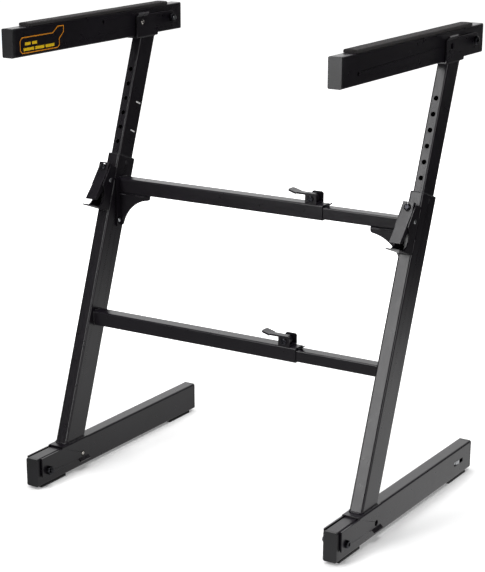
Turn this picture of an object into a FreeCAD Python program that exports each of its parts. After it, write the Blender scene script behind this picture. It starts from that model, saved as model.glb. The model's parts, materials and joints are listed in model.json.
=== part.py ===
import FreeCAD, Part
import math
import os
import re

import Sketcher

from FreeCAD import Placement, Rotation, Vector

# A folding stand for a stage keyboard. Two Z-shaped side frames stand on long feet and carry
# padded arms, and two telescoping crossbars hold them apart. Feet and arms fold about a bolt near
# one end and snap shut on a sprung button. The posts slide in the legs and lock on a row of holes.
#
# X runs from the left frame to the right one, -Y is the player's side and Z is up. The origin is
# the middle of the box around the stand, on the floor. All sizes are in millimetres.

SIZES = {
    "side_spacing": (580, "between the centre planes of the two side frames"),
    "leg_lean": (70, "degrees between a leg and the floor"),
    "seat_gap": (0.3, "between a folding tube and the web that it comes to rest on"),
    "pin_fit": (0.1, "radial clearance of a pin or bolt in its hole"),
    "slide_clearance": (0.3, "between a sliding tube and what guides it"),
    "foot_length": (484, "foot with both end caps"),
    "foot_height": (50, "foot tube, top to bottom"),
    "foot_width": (24, "foot tube, side to side"),
    "foot_wall": (1.5, "wall of the foot tube"),
    "foot_corner": (3.5, "outer corner radius of the foot tube"),
    "foot_pivot_inset": (24.5, "from the foot's near end to its bolt"),
    "foot_snap_reach": (97.5, "from the foot's bolt to its snap button"),
    "rubber_thickness": (4, "rubber pads under the feet"),
    "rubber_inset": (1, "rubber pad's side to the tube's side"),
    "near_rubber_start": (11, "from the foot's near end to the near rubber pad"),
    "far_rubber_inset": (84, "from the foot's far end to the near edge of the far rubber pad"),
    "rubber_length": (67, "rubber pad along the foot"),
    "cap_flange": (5, "visible end of an end cap"),
    "cap_plug": (13, "part of an end cap inside its tube"),
    "cap_clearance": (0.2, "between an end cap's plug and the tube"),
    "cap_wall": (2, "wall of an end cap's plug"),
    "bracket_wall": (3, "steel of the channels that hold foot and arm"),
    "washer_thickness": (1.2, "washer between a channel's side and the tube"),
    "washer_radius": (12, "washer at a folding bolt"),
    "foot_channel_start": (8, "from the foot's near end to its channel"),
    "foot_channel_end": (138, "from the foot's near end to its channel's far edge"),
    "foot_web_start": (66, "from the foot's near end to the channel's top web"),
    "foot_channel_drop": (33.3, "from the foot's top to the channel's lower edge"),
    "bolt_radius": (4, "folding bolts"),
    "bolt_head_radius": (6.5, "bolt head on a folding bolt"),
    "bolt_head_height": (4.5, "bolt head on a folding bolt"),
    "bolt_tail": (2.5, "bolt end that stands out of its nut"),
    "nut_radius": (7.5, "nut on a folding bolt, over its corners"),
    "nut_height": (6.5, "nut on a folding bolt"),
    "snap_radius": (4, "snap button"),
    "snap_clearance": (0.3, "radial clearance of a snap button in the tube"),
    "snap_window_radius": (5, "hole in a channel for the snap button"),
    "snap_proud": (1, "snap button beyond the channel's outer face"),
    "leaf_thickness": (1, "leaf spring behind a snap button"),
    "leaf_width": (12, "leaf spring, across the tube"),
    "leaf_lead": (12, "leaf spring in front of its button"),
    "leaf_tail": (48, "leaf spring behind its button"),
    "tab_length": (27, "flared lead-in tab of a foot's channel"),
    "arm_tab_length": (31, "flared lead-in tab of an arm's channel"),
    "tab_reach": (5, "flared tab, out of the channel's side"),
    "tab_thickness": (2, "flared tab, square to the channel's side"),
    "leg_foot_offset": (106, "from the foot's near end to the leg's centre line at the foot's top"),
    "leg_length": (499, "leg tube along its centre line, from the foot's channel to its top"),
    "leg_depth": (50, "leg tube, front to back, square to its axis"),
    "leg_width": (24, "leg tube, side to side"),
    "leg_wall": (1.5, "wall of the leg tube"),
    "leg_corner": (3.5, "outer corner radius of the leg tube"),
    "post_depth": (40, "post tube, front to back"),
    "post_width": (19, "post tube, side to side"),
    "post_wall": (1.5, "wall of the post tube"),
    "post_corner": (3, "outer corner radius of the post tube"),
    "post_insert": (240, "length of post inside the leg"),
    "hole_pitch": (25, "between the post's locking holes"),
    "holes_above_pin": (7, "locking holes above the lock pin"),
    "holes_below_pin": (6, "locking holes below the lock pin"),
    "bushing_length": (60, "plastic guide in the leg's mouth"),
    "bushing_rim": (1.5, "guide's rim above the leg"),
    "bushing_boss_radius": (3, "guide's boss in the leg's side hole"),
    "bushing_boss_drop": (8.7, "from the leg's top to that boss"),
    "lock_pin_drop": (27, "from the leg's top to the lock pin"),
    "lock_pin_radius": (3.5, "lock pin"),
    "lock_pin_reach": (3.5, "lock pin's tip beyond the post's front face"),
    "lock_hole_clearance": (0.2, "radial clearance of the lock pin in the post"),
    "lock_neck_radius": (2.5, "lock pin's neck through the lever"),
    "lock_head_radius": (5.5, "lock pin's domed head"),
    "lock_head_height": (3.4, "lock pin's domed head"),
    "housing_wall": (2, "housing of the height lever"),
    "housing_top_drop": (22, "from the leg's top to the housing's top"),
    "housing_bottom_drop": (97.5, "from the leg's top to the housing's bottom"),
    "housing_top_reach": (17.5, "housing's top corner, out of the leg's front"),
    "housing_bend_reach": (31, "housing's bend, out of the leg's front"),
    "housing_bend_drop": (61, "from the leg's top to the housing's bend"),
    "housing_bottom_reach": (41, "housing's bottom corner, out of the leg's front"),
    "housing_lip_reach": (47, "housing's bottom lip, out of the leg's front"),
    "notch_radius": (21, "finger notch in the housing's sides"),
    "notch_drop": (77, "from the leg's top to the notch's centre"),
    "notch_reach": (41, "notch's centre, out of the leg's front"),
    "lever_width": (19, "height lever, side to side"),
    "lever_wall": (2, "height lever's steel"),
    "lever_top_drop": (18.5, "from the leg's top to the lever's top"),
    "lever_bend_drop": (35, "from the leg's top to the lever's bend"),
    "lever_bottom_drop": (86.5, "from the leg's top to the lever's bottom"),
    "lever_top_reach": (22.5, "lever's upper face, out of the leg's front"),
    "lever_bottom_reach": (44, "lever's lower end, out of the leg's front"),
    "lever_pivot_drop": (47, "from the leg's top to the lever's pivot"),
    "lever_pivot_reach": (12.2, "lever's pivot, out of the leg's front"),
    "lever_pin_radius": (2.5, "lever's pivot pin"),
    "lever_boss": (5.7, "lever's side around its pivot"),
    "rivet_head_radius": (3.5, "heads of the lever's pivot pin"),
    "rivet_head_height": (1.8, "heads of the lever's pivot pin"),
    "slot_rise": (6.4, "slot above the lock pin's centre in the lever"),
    "arm_length": (466, "arm with both end caps"),
    "arm_overhang": (17, "arm's near end in front of the foot's near end"),
    "arm_bottom": (728, "underside of the arm above the floor"),
    "arm_height": (45, "arm tube, top to bottom"),
    "arm_width": (22, "arm tube, side to side"),
    "arm_wall": (1.5, "wall of the arm tube"),
    "arm_corner": (2.5, "outer corner radius of the arm tube"),
    "arm_pivot_inset": (36.4, "from the arm's far end to its bolt"),
    "arm_snap_reach": (85.6, "from the arm's bolt to its snap button"),
    "arm_channel_length": (112.4, "arm's channel along the arm"),
    "arm_web_length": (62.4, "web under the arm, along the arm"),
    "arm_channel_tail": (9.4, "arm's channel behind its bolt"),
    "arm_channel_rise": (34.5, "from the arm's underside to the channel's upper edge"),
    "channel_corner": (9, "rounded far corner of an arm's channel"),
    "arm_channel_lift": (3.5, "channel's lower edge behind its web, above the arm's underside"),
    "foam_start": (43, "from the arm's near end to the foam pad"),
    "foam_length": (382, "foam pad, along the arm"),
    "foam_thickness": (5.5, "foam pad"),
    "foam_edge": (1.5, "rounded edge of the foam pad"),
    "sleeve_size": (25, "outer crossbar tube, square"),
    "sleeve_wall": (1.5, "wall of the outer crossbar tube"),
    "sleeve_corner": (2.5, "outer corner radius of that tube"),
    "sleeve_length": (404, "outer crossbar tube"),
    "slider_height": (19.6, "inner crossbar tube, top to bottom"),
    "slider_wall": (1.5, "wall of the inner crossbar tube"),
    "slider_corner": (2, "outer corner radius of that tube"),
    "slider_length": (400, "inner crossbar tube"),
    "upper_bar_height": (482, "centre of the upper crossbar above the floor"),
    "lower_bar_height": (263, "centre of the lower crossbar above the floor"),
    "gusset_reach": (65, "gusset along the crossbar"),
    "gusset_depth": (57, "gusset below the crossbar"),
    "gusset_wall": (3, "gusset plate"),
    "gusset_radius": (62.2, "gusset's hollow curve"),
    "gusset_curve_reach": (68.6, "from the leg to the centre of that curve"),
    "gusset_curve_drop": (69.9, "from the crossbar to the centre of that curve"),
    "gusset_ear": (14, "top of the gusset's flange above the crossbar's axis"),
    "gusset_corner": (8, "gusset's straight edges at its tips"),
    "gusset_tip": (5, "gusset's rounded tips"),
    "gusset_flange": (18, "gusset's flange on the leg"),
    "gusset_setback": (10, "gusset in front of the crossbar's centre"),
    "clamp_inset": (22, "from the outer tube's end to the clamp's bolt"),
    "clamp_length": (21, "clamp bracket along the crossbar"),
    "clamp_height": (17.5, "clamp bracket above the crossbar"),
    "clamp_wall": (2, "clamp bracket's steel"),
    "clamp_bolt_height": (8.3, "clamp's bolt above the crossbar"),
    "clamp_bolt_radius": (3, "clamp's bolt"),
    "clamp_head_radius": (5.5, "head of the clamp's bolt"),
    "clamp_head_height": (3, "head of the clamp's bolt"),
    "clamp_nut_radius": (5.8, "nut on the clamp's bolt, over its corners"),
    "clamp_nut_height": (4, "nut on the clamp's bolt"),
    "cam_radius": (6, "cam of the clamp lever"),
    "cam_hub_radius": (5.5, "hub of the clamp lever around its bolt"),
    "cam_offset": (1, "cam's centre below the bolt when the clamp is shut"),
    "cam_gap": (0.3, "between the shut cam and the shoe"),
    "handle_thickness": (3, "clamp lever's handle"),
    "handle_rise": (7, "handle's upper face above the bolt"),
    "handle_width": (12, "clamp lever's handle"),
    "handle_length": (30, "clamp lever's handle from the bolt"),
    "paddle_length": (16, "clamp lever's paddle"),
    "paddle_width": (19, "clamp lever's paddle"),
    "paddle_rise": (15, "degrees between the paddle and the handle"),
    "shoe_thickness": (1.5, "pressure shoe of a clamp"),
    "shoe_width": (12, "pressure shoe of a clamp"),
    "shoe_tail": (14, "pressure shoe behind the bolt"),
    "shoe_tab_reach": (10, "shoe's upturned tab beyond the outer tube's end"),
    "shoe_tab_rise": (5, "shoe's tab above the rest of the shoe"),
    "shoe_boss": (8, "shoe's boss under the cam"),
    "window_clearance": (2, "around the shoe's boss in the tube and the bracket"),
    "wheel_inset": (49.5, "from the foot's far end to the levelling wheel"),
    "wheel_radius": (12.5, "levelling wheel"),
    "wheel_thickness": (6.4, "levelling wheel"),
    "wheel_height": (29.2, "levelling wheel's middle above the floor"),
    "wheel_window": (7, "height of the windows for the wheel"),
    "wheel_window_length": (34, "length of the windows for the wheel"),
    "wheel_notches": (20, "finger notches around the wheel"),
    "wheel_notch_radius": (1, "those notches"),
    "stud_radius": (4, "levelling stud"),
    "stud_length": (40, "levelling stud above its rubber pad"),
    "plain_hole_radius": (3, "plain assembly holes"),
    "left_hole_inset": (230, "from the arm's far end to the plain hole in the left arm"),
    "left_hole_drop": (12, "from the arm's top to that hole"),
    "right_hole_inset": (49, "from the arm's near end to the plain hole in the right arm"),
    "right_hole_rise": (16, "from the arm's underside to that hole"),
}

doc = FreeCAD.newDocument("keyboard_stand")


def write_sheet():
    """Put every driving size in a sheet: its name, its value and what it measures."""
    sheet = doc.addObject("Spreadsheet::Sheet", "sizes")
    for row, (name, (value, note)) in enumerate(SIZES.items(), start=1):
        sheet.set(f"A{row}", name)
        sheet.set(f"B{row}", str(value))
        sheet.setAlias(f"B{row}", name)
        sheet.set(f"C{row}", note)
    doc.recompute()
    return sheet


sheet = write_sheet()


def size(name):
    """The value that the sheet holds for a driving size."""
    return float(sheet.get(name))


def bound(text):
    """An expression with every size's name looked up in the sheet."""
    return re.sub(r"[a-z_]+", lambda word: lookup(word.group()), text)


def lookup(word):
    """The sheet's cell for a size's name, or the word itself."""
    return f"{sheet.Name}.{word}" if word in SIZES else word


# Places that follow from the driving sizes.
LEAN_FROM_UPRIGHT = 90 - size("leg_lean")
SLOPE = math.tan(math.radians(size("leg_lean")))
FOOT_TOP = size("rubber_thickness") + size("foot_height")
WEB_TOP = FOOT_TOP + size("seat_gap") + size("bracket_wall")
FAR_RUBBER = "(foot_length - far_rubber_inset)"
WHEEL = "(foot_length - wheel_inset)"
FOOT_START = -(size("foot_length") - size("arm_overhang")) / 2
ARM_END = size("arm_length") - size("arm_overhang")
ARM_WEB_BOTTOM = size("arm_bottom") - size("seat_gap") - size("bracket_wall")

SIDES = {"left": 1, "right": -1}  # the way towards the stand's middle along X


def leg_centre(height):
    """How far behind the foot's near end a leg's centre line is, at a height above the floor."""
    return size("leg_foot_offset") + (height - FOOT_TOP) / SLOPE


def side_place(side, back=0.0, up=0.0):
    """A place in a side frame's centre plane, measured from the foot's near end and the floor."""
    across = -SIDES[side] * size("side_spacing") / 2
    return Placement(Vector(across, FOOT_START + back, up), Rotation())


def leg_place(side):
    """The leg's own frame: Z up its axis from the foot's channel, -Y out of its front."""
    across = -SIDES[side] * size("side_spacing") / 2
    foot = Vector(across, FOOT_START + leg_centre(WEB_TOP), WEB_TOP)
    return Placement(foot, Rotation(Vector(1, 0, 0), -LEAN_FROM_UPRIGHT))


def inward(side, low, high):
    """A stretch along X that reads from a frame's centre plane towards the stand's middle."""
    return (low, high) if SIDES[side] > 0 else (f"-({high})", f"-({low})")


# Building blocks: each feature's sizes and place are expressions on the sheet.
TURNS = {"x": Rotation(Vector(0, 1, 0), 90), "y": Rotation(Vector(1, 0, 0), -90), "z": Rotation()}


def new_body(label, place):
    body = doc.addObject("PartDesign::Body", label)
    body.Label = label
    body.Placement = place
    return body


def bind(feature, **expressions):
    for name, text in expressions.items():
        feature.setExpression(name, bound(text))


def put(feature, at):
    for axis, text in zip("xyz", at):
        feature.setExpression(f"Placement.Base.{axis}", bound(text))


def block(body, x, y, z, kind="Additive"):
    """A box between two places along each axis."""
    feature = body.newObject(f"PartDesign::{kind}Box", "Block")
    bind(feature, Length=f"({x[1]}) - ({x[0]})", Width=f"({y[1]}) - ({y[0]})",
         Height=f"({z[1]}) - ({z[0]})")
    put(feature, (x[0], y[0], z[0]))
    return feature


def rod(body, axis, centre, span, radius, kind="Additive"):
    """A cylinder along an axis; centre gives its other two coordinates in X, Y, Z order."""
    feature = body.newObject(f"PartDesign::{kind}Cylinder", "Rod")
    feature.Placement = Placement(Vector(), TURNS[axis])
    bind(feature, Radius=radius, Height=f"({span[1]}) - ({span[0]})")
    at = list(centre)
    at.insert("xyz".index(axis), span[0])
    put(feature, at)
    return feature


def outline(body, plane, points, span, kind="Pad"):
    """A straight-sided outline on an origin plane, carried from one distance to another."""
    sketch = body.newObject("Sketcher::SketchObject", "Outline")
    origin_plane = next(p for p in body.Origin.OriginFeatures if p.Role == plane)
    sketch.AttachmentSupport = (origin_plane, "")
    sketch.MapMode = "FlatFace"
    # The XZ plane looks towards -Y, so a distance along +Y is behind it.
    start = f"-({span[1]})" if plane == "XZ_Plane" else span[0]
    sketch.setExpression("AttachmentOffset.Base.z", bound(start))
    draw_corners(sketch, points)
    feature = body.newObject(f"PartDesign::{kind}", kind)
    feature.Profile = sketch
    # A pocket would run against the plane's direction, a pad runs along it.
    feature.Reversed = kind == "Pocket"
    bind(feature, Length=f"({span[1]}) - ({span[0]})")
    return feature


def draw_corners(sketch, points):
    """Lines joined in a ring, with both distances of each corner bound to the sheet."""
    count = len(points)
    ring = [2 * math.pi * step / count for step in range(count + 1)]
    places = [Vector(math.cos(angle), math.sin(angle), 0) for angle in ring]
    for start, end in zip(places, places[1:]):
        sketch.addGeometry(Part.LineSegment(start, end), False)
    for index, (across, up) in enumerate(points):
        sketch.addConstraint(Sketcher.Constraint("Coincident", index, 2, (index + 1) % count, 1))
        for way, text in (("X", across), ("Y", up)):
            here = getattr(places[index], way.lower())
            held = Sketcher.Constraint(f"Distance{way}", -1, 1, index, 1, here)
            number = sketch.addConstraint(held)
            sketch.setExpression(f"Constraints[{number}]", bound(text))


def round_edges(body, base, radius, wanted, kind="Fillet"):
    """Round or bevel the edges of the newest feature that the test picks."""
    doc.recompute()
    names = [f"Edge{number}" for number, edge in enumerate(base.Shape.Edges, start=1)
             if wanted(edge)]
    feature = body.newObject(f"PartDesign::{kind}", kind)
    feature.Base = (base, names)
    bind(feature, **{"Radius" if kind == "Fillet" else "Size": radius})
    return feature


def straight_along(edge, axis):
    """Whether an edge is a straight line along an axis."""
    if edge.Curve.TypeId != "Part::GeomLine":
        return False
    return abs(getattr(edge.tangentAt(edge.FirstParameter), axis)) > 0.999


def near(edge, **place):
    """Whether the middle of an edge lies at the given coordinates."""
    middle = edge.CenterOfMass
    return all(abs(getattr(middle, axis) - value) < 0.01 for axis, value in place.items())


def tube(body, axis, x, y, z, wall, corner):
    """A rectangular tube with rounded corners, open at both ends."""
    outer = block(body, x, y, z)
    rounded = round_edges(body, outer, corner, lambda edge: straight_along(edge, axis))
    spans = {"x": x, "y": y, "z": z}
    across = [name for name in "xyz" if name != axis]
    for name in across:
        low, high = spans[name]
        spans[name] = (f"({low}) + {wall}", f"({high}) - {wall}")
    hollow = block(body, spans["x"], spans["y"], spans["z"], "Subtractive")
    doc.recompute()
    limits = []
    for name in across:
        low, high = ("%sMin" % name.upper(), "%sMax" % name.upper())
        box = rounded.Shape.BoundBox
        limits.append((name, getattr(box, low) + size(wall), getattr(box, high) - size(wall)))

    def inner_corner(edge):
        if not straight_along(edge, axis):
            return False
        middle = edge.CenterOfMass
        return all(min(abs(getattr(middle, name) - low), abs(getattr(middle, name) - high)) < 0.01
                   for name, low, high in limits)

    return round_edges(body, hollow, f"{corner} - {wall}", inner_corner)


def level_cut(body, up_the_leg, above):
    """Cut a tube of a leaning frame level with the floor, above or below a place on its axis."""
    turn = Rotation(Vector(1, 0, 0), LEAN_FROM_UPRIGHT)
    wide, deep, high = 60, 160, 90
    cutter = body.newObject("PartDesign::SubtractiveBox", "Level")
    cutter.Length, cutter.Width, cutter.Height = wide, deep, high
    corner = turn.multVec(Vector(-wide / 2, -deep / 2, 0 if above else -high))
    cutter.Placement = Placement(corner + Vector(0, 0, up_the_leg), turn)
    return cutter


def hexagon(radius):
    """The corners of a nut around an origin, as expressions."""
    return [(f"{radius} * cos({60 * step} deg)", f"{radius} * sin({60 * step} deg)")
            for step in range(6)]


def moved(points, across, up):
    return [(f"({x}) + ({across})", f"({y}) + ({up})") for x, y in points]


# The folding joints of foot and arm, in their side frame: where the bolt and the button are, what
# tube they hold and how wide it is.
FOLDS = {
    "foot": {
        "y": "foot_pivot_inset",
        "z": "rubber_thickness + foot_height / 2",
        "snap_y": "foot_pivot_inset + foot_snap_reach",
        "leaf": ("foot_pivot_inset + foot_snap_reach - leaf_tail",
                 "foot_pivot_inset + foot_snap_reach + leaf_lead"),
        "half": "foot_width / 2",
        "wall": "foot_wall",
    },
    "arm": {
        "y": "arm_length - arm_overhang - arm_pivot_inset",
        "z": "arm_bottom + arm_height / 2",
        "snap_y": "arm_length - arm_overhang - arm_pivot_inset - arm_snap_reach",
        "leaf": ("arm_length - arm_overhang - arm_pivot_inset - arm_snap_reach - leaf_lead",
                 "arm_length - arm_overhang - arm_pivot_inset - arm_snap_reach + leaf_tail"),
        "half": "arm_width / 2",
        "wall": "arm_wall",
    },
}
PLATE_INNER = {fold: f"{at['half']} + washer_thickness" for fold, at in FOLDS.items()}
PLATE_OUTER = {fold: f"{text} + bracket_wall" for fold, text in PLATE_INNER.items()}


def make_foot_tube(side):
    body = new_body(f"{side}_foot_tube", side_place(side))
    low, high = "rubber_thickness", "rubber_thickness + foot_height"
    tube(body, "y", ("-foot_width / 2", "foot_width / 2"),
         ("cap_flange", "foot_length - cap_flange"), (low, high), "foot_wall", "foot_corner")
    fold_holes(body, side, "foot")
    if side == "right":
        window = ("wheel_height - wheel_window / 2", "wheel_height + wheel_window / 2")
        block(body, ("-foot_width", "foot_width"),
              (f"{WHEEL} - wheel_window_length / 2", f"{WHEEL} + wheel_window_length / 2"),
              window, "Subtractive")
        rod(body, "z", ("0", WHEEL), ("0", f"{low} + 2 * foot_wall"),
            "stud_radius + slide_clearance", "Subtractive")
    return body


def make_arm_tube(side):
    body = new_body(f"{side}_arm_tube", side_place(side))
    tube(body, "y", ("-arm_width / 2", "arm_width / 2"),
         ("cap_flange - arm_overhang", "arm_length - arm_overhang - cap_flange"),
         ("arm_bottom", "arm_bottom + arm_height"), "arm_wall", "arm_corner")
    fold_holes(body, side, "arm")
    # One plain assembly hole on the left arm's inner face, one on the right arm's outer face.
    at = {"left": ("arm_length - arm_overhang - left_hole_inset",
                   "arm_bottom + arm_height - left_hole_drop"),
          "right": ("right_hole_inset - arm_overhang", "arm_bottom + right_hole_rise")}[side]
    rod(body, "x", at, ("arm_width / 2 - 2 * arm_wall", "arm_width"), "plain_hole_radius",
        "Subtractive")
    return body


def fold_holes(body, side, fold):
    """The bolt's hole through a folding tube and the button's hole in its inner face."""
    at = FOLDS[fold]
    rod(body, "x", (at["y"], at["z"]), (f"-({at['half']}) - 1", f"{at['half']} + 1"),
        "bolt_radius + pin_fit", "Subtractive")
    rod(body, "x", (at["snap_y"], at["z"]),
        inward(side, f"{at['half']} - 2 * {at['wall']}", f"{at['half']} + 1"),
        "snap_radius + snap_clearance", "Subtractive")


def make_caps(side, fold):
    """Two push-in plastic caps that close a foot or an arm."""
    body = new_body(f"{side}_{fold}_caps", side_place(side))
    start, end, low = {
        "foot": ("0", "foot_length", "rubber_thickness"),
        "arm": ("-arm_overhang", "arm_length - arm_overhang", "arm_bottom"),
    }[fold]
    for outer, way in ((start, 1), (end, -1)):
        cap(body, fold, outer, low, way)
    return body


def cap(body, fold, outer, low, way):
    """One cap: a visible head as large as the tube and a hollow plug inside it."""
    def along(first, last):
        if way > 0:
            return (f"{outer} + ({first})", f"{outer} + ({last})")
        return (f"{outer} - ({last})", f"{outer} - ({first})")

    half, high = f"{fold}_width / 2", f"{low} + {fold}_height"
    head = block(body, (f"-{half}", half), along("0", "cap_flange"), (low, high))
    middle = outer_y(outer) + way * size("cap_flange") / 2
    side = size(f"{fold}_width") / 2
    round_edges(body, head, f"{fold}_corner", lambda edge: is_long_corner(edge, side, middle))
    inset = f"({fold}_wall + cap_clearance)"
    plug = block(body, (f"-{half} + {inset}", f"{half} - {inset}"),
                 along("cap_flange", "cap_flange + cap_plug"),
                 (f"{low} + {inset}", f"{high} - {inset}"))
    inside = side - size(f"{fold}_wall") - size("cap_clearance")
    deeper = middle + way * (size("cap_flange") + size("cap_plug")) / 2
    round_edges(body, plug, f"{fold}_corner - {fold}_wall",
                lambda edge: is_long_corner(edge, inside, deeper))
    hollow = f"({inset} + cap_wall)"
    block(body, (f"-{half} + {hollow}", f"{half} - {hollow}"),
          along("cap_flange", "cap_flange + cap_plug + 1"),
          (f"{low} + {hollow}", f"{high} - {hollow}"), "Subtractive")


def outer_y(outer):
    """Where a cap's outer face lies along its tube."""
    if outer == "0":
        return 0.0
    if outer == "foot_length":
        return size("foot_length")
    return -size("arm_overhang") if outer.startswith("-") else ARM_END


def is_long_corner(edge, side, middle):
    """Whether an edge runs along the tube at a corner of one stretch of a cap."""
    if not straight_along(edge, "y"):
        return False
    centre = edge.CenterOfMass
    return abs(abs(centre.x) - side) < 0.01 and abs(centre.y - middle) < 0.01


def make_rubber(label, side, starts):
    body = new_body(label, side_place(side))
    half = "foot_width / 2 - rubber_inset"
    for start in starts:
        block(body, (f"-({half})", half), (start, f"{start} + rubber_length"),
              ("0", "rubber_thickness"))
    return body


def make_levelling_foot():
    """The right foot's far rubber pad with the threaded stud that is moulded into it."""
    body = make_rubber("levelling_foot", "right", (FAR_RUBBER,))
    stud = rod(body, "z", ("0", WHEEL),
               ("rubber_thickness / 2", "rubber_thickness + stud_length"), "stud_radius")
    round_edges(body, stud, "1", lambda edge: near(
        edge, z=size("rubber_thickness") + size("stud_length")), "Chamfer")
    return body


def make_levelling_wheel():
    """The plated thumb wheel on the stud, held between the windows of the foot tube."""
    place = side_place("right", size("foot_length") - size("wheel_inset"), size("wheel_height"))
    body = new_body("levelling_wheel", place)
    half = "wheel_thickness / 2"
    rod(body, "z", ("0", "0"), (f"-{half}", half), "wheel_radius")
    rod(body, "z", ("0", "0"), (f"-{half} - 1", f"{half} + 1"), "stud_radius + pin_fit",
        "Subtractive")
    notch = rod(body, "z", ("wheel_radius", "0"), (f"-{half} - 1", f"{half} + 1"),
                "wheel_notch_radius", "Subtractive")
    doc.recompute()
    pattern = body.newObject("PartDesign::PolarPattern", "Notches")
    pattern.Originals = [notch]
    pattern.Axis = (next(a for a in body.Origin.OriginFeatures if a.Role == "Z_Axis"), [""])
    pattern.Angle = 360
    bind(pattern, Occurrences="wheel_notches")
    body.Tip = pattern
    return body


def make_foot_channel(side):
    """The channel under the leg that the foot folds in: open below, with a web on top."""
    body = new_body(f"{side}_foot_channel", side_place(side))
    inner, outer = PLATE_INNER["foot"], PLATE_OUTER["foot"]
    foot_top = "rubber_thickness + foot_height"
    low = f"{foot_top} - foot_channel_drop"
    web = (f"{foot_top} + seat_gap", f"{foot_top} + seat_gap + bracket_wall")
    filled = block(body, (f"-({outer})", outer), ("foot_channel_start", "foot_channel_end"),
                   (low, web[1]))
    top = size("rubber_thickness") + size("foot_height") + size("seat_gap") + size("bracket_wall")
    round_edges(body, filled, "bracket_wall", lambda edge: straight_along(edge, "y")
                and abs(edge.CenterOfMass.z - top) < 0.01)
    block(body, (f"-({inner})", inner), ("foot_channel_start - 1", "foot_channel_end + 1"),
          (f"{low} - 1", web[0]), "Subtractive")
    block(body, (f"-({outer}) - 1", f"{outer} + 1"), ("foot_channel_start - 1", "foot_web_start"),
          (f"{foot_top} + seat_gap", f"{web[1]} + 1"), "Subtractive")
    for way in (1, -1):
        tab = tab_corners(outer, low, way, 1)
        outline(body, "XZ_Plane", tab, ("foot_channel_end - 1 - tab_length",
                                        "foot_channel_end - 1"))
    channel_holes(body, "foot")
    return body


def tab_corners(outer, edge, way, up):
    """A tab bent out at 45 degrees from a channel's open edge."""
    slope = up
    corners = [
        (f"{outer} - tab_thickness", edge),
        (outer, f"{edge} + {slope} * tab_thickness"),
        (f"{outer} + tab_reach", f"{edge} + {slope} * (tab_thickness - tab_reach)"),
        (f"{outer} + tab_reach - tab_thickness", f"{edge} - {slope} * tab_reach"),
    ]
    return [(f"{way} * ({x})", z) for x, z in corners]


def channel_holes(body, fold):
    """Holes through both sides of a channel for its bolt and its snap button."""
    at = FOLDS[fold]
    reach = f"{PLATE_OUTER[fold]} + 1"
    rod(body, "x", (at["y"], at["z"]), (f"-({reach})", reach), "bolt_radius + pin_fit",
        "Subtractive")
    rod(body, "x", (at["snap_y"], at["z"]), (f"-({reach})", reach), "snap_window_radius",
        "Subtractive")


def make_arm_channel(side):
    """The channel on the post that the arm folds in: open above, with a web below."""
    body = new_body(f"{side}_arm_channel", side_place(side))
    inner, outer = PLATE_INNER["arm"], PLATE_OUTER["arm"]
    end = f"{FOLDS['arm']['y']} + arm_channel_tail"
    start = f"{end} - arm_channel_length"
    high = "arm_bottom + arm_channel_rise"
    web = ("arm_bottom - seat_gap - bracket_wall", "arm_bottom - seat_gap")
    filled = block(body, (f"-({outer})", outer), (start, end), (web[0], high))
    bottom = size("arm_bottom") - size("seat_gap") - size("bracket_wall")
    round_edges(body, filled, "bracket_wall", lambda edge: straight_along(edge, "y")
                and abs(edge.CenterOfMass.z - bottom) < 0.01)
    block(body, (f"-({inner})", inner), (f"{start} - 1", f"{end} + 1"), (web[1], f"{high} + 1"),
          "Subtractive")
    cut = block(body, (f"-({outer}) - 1", f"{outer} + 1"),
                (f"{start} + arm_web_length", f"{end} + 1"),
                (f"{web[0]} - 1", "arm_bottom + arm_channel_lift"), "Subtractive")
    corner = ARM_END - size("arm_pivot_inset") + size("arm_channel_tail")
    round_edges(body, cut, "channel_corner", lambda edge: straight_along(edge, "x")
                and abs(edge.CenterOfMass.y - corner) < 0.01)
    for way in (1, -1):
        tab = tab_corners(outer, high, way, -1)
        outline(body, "XZ_Plane", tab, (start, f"{start} + arm_tab_length"))
    channel_holes(body, "arm")
    return body


def make_bolt(side, fold):
    """A folding bolt: low round head with a socket outside, threaded end inside."""
    body = new_body(f"{side}_{fold}_bolt", side_place(side))
    at = FOLDS[fold]
    outer = PLATE_OUTER[fold]
    centre = (at["y"], at["z"])
    rod(body, "x", centre, inward(side, f"-({outer})", f"{outer} + nut_height + bolt_tail"),
        "bolt_radius")
    head = rod(body, "x", centre, inward(side, f"-({outer}) - bolt_head_height", f"-({outer})"),
               "bolt_head_radius")
    face = -SIDES[side] * (size(f"{fold}_width") / 2 + size("washer_thickness")
                           + size("bracket_wall") + size("bolt_head_height"))
    round_edges(body, head, "1.5", lambda edge: abs(edge.CenterOfMass.x - face) < 0.01)
    across, up = at["y"], at["z"]
    outline(body, "YZ_Plane", moved(hexagon("3.5"), across, up),
            inward(side, f"-({outer}) - bolt_head_height - 1", f"-({outer}) - 1.5"), "Pocket")
    return body


def make_nut(side, fold):
    body = new_body(f"{side}_{fold}_nut", side_place(side))
    at = FOLDS[fold]
    outer = PLATE_OUTER[fold]
    outline(body, "YZ_Plane", moved(hexagon("nut_radius"), at["y"], at["z"]),
            inward(side, outer, f"{outer} + nut_height"))
    rod(body, "x", (at["y"], at["z"]), (f"-({outer}) - 2 * nut_height",
                                        f"{outer} + 2 * nut_height"),
        "bolt_radius + pin_fit", "Subtractive")
    return body


def make_washers(side, fold):
    """Two washers, one on each side of the folding tube."""
    body = new_body(f"{side}_{fold}_washers", side_place(side))
    at = FOLDS[fold]
    centre = (at["y"], at["z"])
    for way in (1, -1):
        low, high = at["half"], PLATE_INNER[fold]
        span = (low, high) if way > 0 else (f"-({high})", f"-({low})")
        rod(body, "x", centre, span, "washer_radius")
    rod(body, "x", centre, ("-foot_width", "foot_width"), "bolt_radius + pin_fit", "Subtractive")
    return body


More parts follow.
